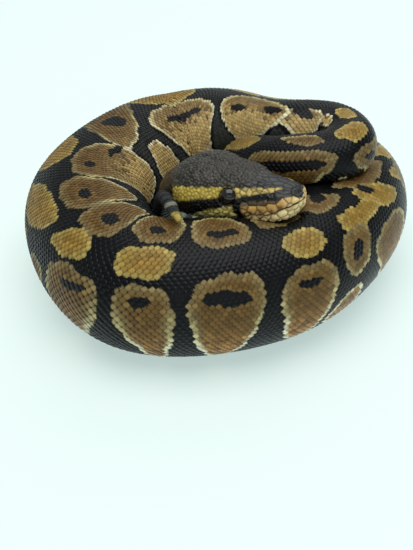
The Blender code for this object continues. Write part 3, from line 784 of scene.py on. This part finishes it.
def build_head_cover(material):
    """The head's scales as one sheet of beads and plates, with its lips, brows, pits and nostrils."""
    sheet = head_sheet()
    facing = sheet_facing(sheet).reshape(-1, 3)
    points = sheet.reshape(-1, 3)
    seeds = head_seeds(sheet)
    own, edge = nearest_two(points, seeds)
    back, side, up = -points[:, 0], np.abs(points[:, 1]), points[:, 2]
    above = up - mouth_height(back)
    lip = (np.abs(above) < 2.4) * (back < MOUTH_CORNER) * (side > 1)
    # a scale's colour is read partly at its own middle, so that edges of the pattern follow the scales
    share = np.where(back < 12, 0.25, 0.5)[:, None]
    colour = head_marking((share * seeds[own] + (1 - share) * points) * [-1, 1, 1])
    pale = ramp(0.05, 0.3, colour[:, 1]) * (back > 12)
    bead = np.interp(back, GRAIN_AT, [0.13, 0.15, 0.24, 0.24]) * (1 - 0.4 * pale)
    bead += np.where(above < 0, 0.22, 0.14) * lip
    soft = np.interp(back, GRAIN_AT, [0.16, 0.17, 0.2, 0.2]) + 0.16 * lip
    rise = bead * (1 - np.exp(-edge / soft)) / (1 - np.exp(-0.5 / soft))
    rise += chance.normal(0, 0.025, len(seeds))[own] + head_folds(back, side, up)
    rise -= 0.7 * ramp(28.2, 30.0, back)
    spread = np.interp(back, GRAIN_AT, [0.1, 0.1, 0.24, 0.24])
    uneven = np.exp(chance.normal(0, 1.0, len(seeds)))[own] ** spread
    colour = colour * (uneven ** (1 - 0.5 * pale))[:, None]
    colour = mix(colour, INK.pit, 0.85 * np.max(heat_pits(back, side, above, 0.6, 0.75), axis=0))
    # each head scale is painted darker toward its edges: painted shade
    colour = colour * (0.72 + 0.4 * ramp(0.0, 0.35, edge))[:, None]
    # the crevices between the head's scales, the mouth line, nostrils, heat pits and eye sockets take the
    # near-black groove colour: painted shade
    groove = np.maximum(pit_shade(back, side, up), (0.6 - 0.3 * pale) * bell(edge, 0.11))
    rows, count = sheet.shape[:2]
    turn, along = np.arange(count + 1) / count, np.linspace(0.01, 0.99, rows)
    corner = np.stack([np.tile(turn[:-1], (rows - 1, 1)), np.tile(turn[1:], (rows - 1, 1))], -1)
    u = corner[:, :, [0, 1, 1, 0]]
    v = np.stack([along[:-1], along[:-1], along[1:], along[1:]], 1)[:, None, :].repeat(count, 1)
    uv = np.stack([u, v], -1).reshape(-1, 2)
    place, faces = place_head(points + facing * rise[:, None]), grid_faces(rows, count, True)
    make_piece("head_scales", place, faces, material, mix(colour, INK.groove, groove), uv)


def grid_faces(rows, count, closed):
    """Quads between neighbouring rows of points, facing out where rows run away and count turns left."""
    i, j = np.meshgrid(np.arange(rows - 1), np.arange(count if closed else count - 1), indexing="ij")
    here, right = i * count + j, i * count + (j + 1) % count
    return np.stack([here, right, right + count, here + count], -1).reshape(-1, 4)


def many_grids(number, rows, count):
    """The quads of as many equal open grids, one after the other."""
    return (grid_faces(rows, count, False) + rows * count * np.arange(number)[:, None, None]).reshape(-1, 4)


def add_object(name, data):
    made = bpy.data.objects.new(name, data)
    bpy.context.scene.collection.objects.link(made)
    return made


def make_piece(name, points, faces, material, colour, uv=None):
    """A smooth mesh from points in mm and faces, with its markings and its map for baking, on the body.

    The faces are one array of quads, or a list of faces of any size.
    """
    mesh = bpy.data.meshes.new(name)
    sizes, corners = [len(face) for face in faces], np.concatenate(faces)
    mesh.vertices.add(len(points))
    mesh.loops.add(len(corners))
    mesh.polygons.add(len(sizes))
    for rows, key, values, kind in (
            (mesh.vertices, "co", np.asarray(points) * MM, np.float32),
            (mesh.loops, "vertex_index", corners, np.int32),
            (mesh.polygons, "loop_start", np.r_[0, np.cumsum(sizes)[:-1]], np.int32),
            (mesh.polygons, "use_smooth", np.ones(len(sizes)), bool)):
        rows.foreach_set(key, values.astype(kind).ravel())
    mesh.update(calc_edges=True)
    if uv is not None:
        mesh.uv_layers.new(name="OFBake").data.foreach_set("uv", uv.astype(np.float32).ravel())
    paint = mesh.color_attributes.new("Marking", "FLOAT_COLOR", "POINT")
    rgba = np.c_[np.clip(colour, 0, 1), np.ones(len(points))]
    paint.data.foreach_set("color", rgba.astype(np.float32).ravel())
    mesh.materials.append(material)
    piece = add_object(name, mesh)
    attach(piece, "root")
    return piece


# ---- one scale of the back: places along and across it in pitches and row gaps, and its height ----
SCALE_ALONG = [-0.62, -0.28, 0.06, 0.36, 0.55, 0.60]
SCALE_WIDTH = [0.52, 0.78, 0.84, 0.62, 0.28, 0.24]
SCALE_HEIGHT = [0.05, 0.36, 0.72, 0.96, 0.90, 0.02]
SCALE_ACROSS = np.linspace(-1, 1, 5)
CENTRE_POINT = 12        # of a scale's points, counted row by row
PATCH = 0.0031           # of the bake map, for one scale
PLATE_PITCH, PLATE_RISE = 1.5, 0.16
STRETCHES = [SCALES_START, 110, 160, 200, 240, 280, 320, 380, 500]    # mm along: a piece of scales each
BLEND = 0.45             # how much of the pattern's change across one scale shows on it
RIM_SHEEN, CORE_DARK = 1.5, 0.74      # on a black scale: painted sheen on the rim, a darker core
RIM_SHADE, CORE_LIGHT = 0.55, 1.22     # on a brown or gold scale: painted shade on the rim, painted light on the core
PIP_SHADE_SHARE = 0.4          # of the scales low on the flank, for the ones darkened with painted shade
GAP_SHADE = 0.12         # of the scales' brightness, for the skin between them: painted shade in the gaps


def scale_template():
    """Points (along, across, height) and edge nearness of one scale, row by row."""
    tables = SCALE_ALONG, SCALE_WIDTH, SCALE_HEIGHT
    along, width, height = (np.repeat(row, len(SCALE_ACROSS)) for row in tables)
    share = np.tile(SCALE_ACROSS, len(SCALE_ALONG))
    along = along - 0.10 * share**2 * (along > 0.3)
    height = height * (1 - 0.72 * np.abs(share) ** 2.2)
    return along, share * width, height, np.maximum(np.abs(share) ** 2.5 * 0.9, ramp(0.25, 0.55, along))


def scale_places(skin):
    """(along, turn, size) of every scale: half rings, each half a pitch on from the last.

    Where a bend squeezes the skin, only some half rings are kept and their scales are longer to match.
    """
    spine, places = skin.spine, []
    s, k = SCALES_START, 0
    rows = np.arange(-70, 71)
    while s < spine.length - 0.6:
        radius = np.interp(s, spine.along, spine.radius)
        turn = rows * float(through(ROW_GAP, np.array(s))) / radius
        turn, row = turn[np.abs(turn) < radians(BELLY_EDGE)], rows[np.abs(turn) < radians(BELLY_EDGE)]
        squeeze = skin.read(skin.stretch, np.full(len(turn), s), turn)[:, 0]
        size = np.clip(np.round(0.94 / np.maximum(squeeze, 0.02)), 1, 12).astype(int)
        keep = (k % size == 0) & ((row + k // size) % 2 == 0)
        places.append(np.c_[np.full(len(turn), s), turn, size][keep])
        s += float(through(SCALE_PITCH, np.array(s))) / 2
        k += 1
    return np.concatenate(places)


def build_scales(skin, material):
    """All the body's scales, in pieces that each cover one stretch of it."""
    places = scale_places(skin)
    along, across, height, edge = scale_template()
    for n, (start, stop) in enumerate(zip(STRETCHES[:-1], STRETCHES[1:])):
        here = places[(places[:, 0] >= start) & (places[:, 0] < stop)]
        s, turn, rings = here.T
        radius, pitch, gap = skin.spine.thick(s), through(SCALE_PITCH, s), through(ROW_GAP, s)
        stretch = skin.read(skin.stretch, s, turn)[:, 0] * rings
        size = 1 + chance.normal(0, 0.03, (2, len(s)))
        lift = LAP * np.minimum(gap, 1.0) * (1 + chance.normal(0, 0.08, len(s)))
        yaw = chance.normal(0, 0.03, len(s))[:, None]
        a = (along + yaw * across) * size[0][:, None]
        b = (across - yaw * along) * size[1][:, None]
        long = pitch * np.clip(stretch, 0.8, LONGEST_STRETCH)
        wide = gap / radius * skin.read(skin.around, s, turn)[:, 0]
        points = skin.tile(s, turn, a * long[:, None], b * wide[:, None], height * lift[:, None])
        points = points.reshape(-1, 3)
        points[:, 2] = np.maximum(points[:, 2], SCALE_FLOOR)
        a, b = a * (pitch * rings)[:, None], b * (gap / radius)[:, None]
        colour = scale_colours(s[:, None] + BLEND * a, turn[:, None] + BLEND * b, edge)
        faces = many_grids(len(s), len(SCALE_ALONG), len(SCALE_ACROSS))
        middle = np.c_[0.02 + 0.96 * (s - start) / (stop - start), 0.02 + 0.96 * (turn + pi) / (2 * pi)]
        spread = np.c_[along / 1.2, across] * PATCH / 2
        uv = (middle[:, None] + spread).reshape(-1, 2)[faces.ravel()]
        make_piece("scales_%d" % (n + 1), points, faces, material, colour, uv)


def scale_colours(s, turn, edge):
    """The colour of each scale's points, with painted sheen on the rims of black scales and painted shade on
    the rims of pale ones; s and turn hold a row for each scale.
    """
    at, share = np.array(GIRTH).T
    radius = np.interp(s.ravel(), at, MID_RADIUS * share)
    base = marking(s.ravel(), np.degrees(turn.ravel()), radius).reshape(s.shape + (3,))
    base = base * np.exp(chance.normal(0, 0.16, len(s)))[:, None, None]
    off = np.degrees(np.abs(turn[:, CENTRE_POINT, None, None]))
    pip_shade = (chance.random(len(s)) < PIP_SHADE_SHARE)[:, None, None] * ramp(56, 80, off) * fade(88, 100, off)
    tone = base.mean(-1, keepdims=True)
    pale = ramp(0.012, 0.04, tone)
    # some pale scales low on the flank are darkened: painted shade of the scale tips
    base = base * (1 - 0.55 * pip_shade * pale * (tone < 0.25))
    # black scales get painted sheen on their rims; pale ones get painted shade on their rims and painted
    # light in their cores
    rim = base * (RIM_SHEEN * (1 - pale) + RIM_SHADE * pale) + 0.003 * (1 - pale)
    core = base * (CORE_DARK * (1 - pale) + CORE_LIGHT * pale)
    return np.clip(mix(core, rim, edge), 0, 1).reshape(-1, 3)


def build_belly(skin, material):
    """The broad plates under the animal, each one grid of points."""
    rings = np.arange(SCALES_START + 2, skin.spine.length - 4, PLATE_PITCH)
    across, along = np.linspace(-1, 1, 15), np.array([-0.75, -0.2, 0.35, 0.60, 0.66])
    rise = np.array([0.0, 0.4, 0.85, 0.9, 0.0])[:, None]
    s = rings[:, None, None] + along[:, None] * PLATE_PITCH - 0.25 * across**2
    turn = np.broadcast_to(pi + across * radians(180 - BELLY_EDGE + 5), s.shape)
    loose = skin.read(skin.stretch, s, turn)[..., 0] > 0.3     # in a tight bend the plates sink into the skin
    height = np.where(loose, PLATE_RISE * rise * (1 - 0.5 * across**4), -0.05)
    points = skin.at(s, turn, height).reshape(-1, 3)
    points[:, 2] = np.maximum(points[:, 2], BELLY_FLOOR)
    wrapped = np.degrees(np.mod(turn.ravel() + pi, 2 * pi) - pi)
    colour = marking(np.repeat(rings, s[0].size), wrapped, skin.spine.thick(s.ravel())) * 0.97
    faces = many_grids(len(rings), len(along), len(across))
    u = np.clip(0.01 + 0.98 * s / skin.spine.length, 0, 1)
    v = 0.1 + 0.8 * (across * 0.5 + 0.5) * np.ones_like(s)
    uv = np.stack([u, v], -1).reshape(-1, 2)[faces.ravel()]
    make_piece("belly_plates", points, faces, material, colour, uv)


def build_skin(skin, material):
    """The bare skin under every scale, in one piece from the snout to the tip of the tail."""
    spine = skin.spine
    rings, columns = np.r_[1, 2, 4, np.arange(6, len(spine.along), 2)], np.arange(0, 180, 2)
    points, s = skin.place[rings][:, columns], spine.along[rings]
    last, middle = points[-1], points[-1].mean(0)
    for far, narrow in ((0.35, 0.95), (0.62, 0.8), (0.85, 0.52)):
        cap = middle + spine.heading[-1] * spine.radius[-1] * far + (last - middle) * narrow
        points, s = np.concatenate([points, cap[None]]), np.r_[s, spine.length]
    rows, count = points.shape[:2]
    s, turn, points = np.repeat(s, count), np.tile(skin.angles[columns], rows), points.reshape(-1, 3)
    face = head_marking((points - SNOUT) @ head_axes().T * [-1, 1, 1])
    colour = mix(face, marking(s, np.degrees(turn), spine.thick(s)), ramp(27, 29, s))
    # the bare skin is painted far darker than the markings: painted shade in the gaps between the scales
    colour = colour * np.where(s < spine.length - 1, GAP_SHADE, 1.0)[:, None]
    ends = np.arange(count)[::-1], len(points) - count + np.arange(count)
    piece = make_piece("skin", points, [*grid_faces(rows, count, True), *ends], material, colour)
    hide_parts(*FLESH)


def build_eye(side, node, material):
    """A glossy eyeball with its dark iris and upright pupil, in the socket of the head."""
    rows, count = 33, 48
    lean, turn = np.linspace(0.02, pi - 0.02, rows), np.linspace(0, 2 * pi, count + 1)[:-1]
    out = np.cos(lean)[:, None] * np.ones(count)
    fore, up = np.outer(np.sin(lean), np.cos(turn)), np.outer(np.sin(lean), np.sin(turn))
    ball = np.stack([fore, side * out, up], -1).reshape(-1, 3) * (EYE_RADIUS + EYE_SWELL)
    slit, ring = np.hypot(fore / 0.16, up / 0.42).ravel(), np.hypot(fore, up).ravel()
    colour = paint_over(INK.pupil, (mix(INK.iris, INK.iris_rim, ramp(0.45, 0.8, ring)), ramp(0.9, 1.1, slit)))
    piece = make_piece("eyeball_" + node[4:], place_head(ball + [-EYE_BACK, side * EYE_SIDE, EYE_UP]),
                       grid_faces(rows, count, True)[:, ::-side], material, colour)
    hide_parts(node)


# ---- finishes ----
def fill(node, **values):
    """Sets a node's inputs by name, with _ for the spaces."""
    for name, value in values.items():
        node.inputs[name.replace("_", " ")].default_value = value


def new_material(name, roughness, coat, coat_roughness, grain, bump):
    """A finish that takes its colour from the markings and breaks it up with two sizes of noise."""
    material = bpy.data.materials.new(name)
    material.use_nodes = True
    nodes, links = material.node_tree.nodes, material.node_tree.links
    shader = nodes["Principled BSDF"]
    fill(shader, Coat_Weight=coat, Coat_Roughness=coat_roughness, Specular_IOR_Level=0.15)
    paint, place, fine, broad, span, tone, gloss, relief = (nodes.new("ShaderNode" + kind) for kind in (
        "Attribute", "TexCoord", "TexNoise", "TexNoise", "MapRange", "Mix", "MapRange", "Bump"))
    paint.attribute_name = "Marking"
    tone.data_type, tone.blend_type = "RGBA", "MULTIPLY"
    fill(fine, Scale=grain, Detail=4)
    fill(broad, Scale=grain / 14, Detail=2)
    fill(span, To_Min=0.80, To_Max=1.18)
    fill(tone, Factor=1)
    fill(gloss, To_Min=roughness - 0.07, To_Max=roughness + 0.09)
    fill(relief, Strength=bump, Distance=0.00004)
    for source, output, target, entry in (
            (place, "Object", fine, "Vector"), (place, "Object", broad, "Vector"),
            (fine, "Fac", span, "Value"), (paint, "Color", tone, "A"), (span, "Result", tone, "B"),
            (tone, "Result", shader, "Base Color"), (broad, "Fac", gloss, "Value"),
            (gloss, "Result", shader, "Roughness"), (fine, "Fac", relief, "Height"),
            (relief, "Normal", shader, "Normal")):
        links.new(source.outputs[output], target.inputs[entry])
    return material


# ---- the studio ----
CAMERA_SIDE, CAMERA_AIM = -3.1, -8.8    # mm: the point that the camera looks at, across and in depth
CAMERA_RISE, CAMERA_FAR = 38.0, 220.0   # degrees over the floor, and mm away
FOCAL_SHARE = 831 / 413                 # focal length over the picture's width
FLOOR_HALF = 2.0                        # metres, as are the lights' places and sizes


def build_camera():
    data = bpy.data.cameras.new("camera")
    data.sensor_fit, data.sensor_width, data.lens = "HORIZONTAL", 36, 36 * FOCAL_SHARE
    data.clip_start, data.clip_end = 0.01, 10
    camera, rise = add_object("camera", data), radians(CAMERA_RISE)
    depth, up = CAMERA_AIM - CAMERA_FAR * cos(rise), CAMERA_FAR * sin(rise)
    camera.location = (CAMERA_SIDE * MM, depth * MM, up * MM)
    camera.rotation_euler = (pi / 2 - rise, 0, 0)
    bpy.context.scene.camera = camera


def build_floor():
    mesh = bpy.data.meshes.new("floor")
    corners = [(x * FLOOR_HALF, y * FLOOR_HALF, 0) for x, y in ((-1, -1), (1, -1), (1, 1), (-1, 1))]
    mesh.from_pydata(corners, [], [(0, 1, 2, 3)])
    material = bpy.data.materials.new("floor_white")
    material.use_nodes = True
    fill(material.node_tree.nodes["Principled BSDF"], Base_Color=(0.44, 0.48, 0.47, 1), Roughness=0.6,
         Emission_Color=(0.80, 1.0, 0.96, 1), Emission_Strength=0.53)
    mesh.materials.append(material)
    add_object("floor", mesh)


def area_light(name, place, aim, size, power):
    data = bpy.data.lights.new(name, "AREA")
    data.shape, data.energy = "RECTANGLE", power
    data.size, data.size_y = size
    light = add_object(name, data)
    light.location = place
    x, y, z = np.array(aim, float) - np.array(place, float)
    light.rotation_euler = (np.arctan2(np.hypot(x, y), -z), 0, np.arctan2(y, x) - pi / 2)


def build_studio():
    world = bpy.data.worlds.new("studio")
    world.use_nodes = True
    fill(world.node_tree.nodes["Background"], Color=(0.93, 1.0, 0.97, 1), Strength=0.36)
    bpy.context.scene.world = world
    bpy.context.scene.view_settings.view_transform = "Standard"
    area_light("key", (0.0, -0.08, 0.75), (0, 0, 0), (0.9, 0.6), 4.3)
    area_light("front", (0.0, -0.7, 0.3), (0, 0, 0.02), (0.8, 0.3), 0.4)
    area_light("back", (0.15, 0.55, 0.5), (0, 0, 0.02), (0.6, 0.4), 0.9)


def main():
    build_camera()
    build_floor()
    build_studio()
    scale_finish = new_material("scales", 0.27, 0.04, 0.3, 2600, 0.5)
    head_finish = new_material("head_scales", 0.30, 0.38, 0.22, 2400, 0.5)
    skin_finish = new_material("bare_skin", 0.55, 0.0, 0.3, 3000, 0.6)
    belly_finish = new_material("belly_plates", 0.34, 0.15, 0.25, 900, 0.25)
    eye_finish = new_material("eye", 0.10, 1.0, 0.02, 500, 0.0)
    skin = Surface(Spine())
    build_skin(skin, skin_finish)
    build_scales(skin, scale_finish)
    build_belly(skin, belly_finish)
    build_head_cover(head_finish)
    build_eye(1, "eye_left", eye_finish)
    build_eye(-1, "eye_right", eye_finish)


main()
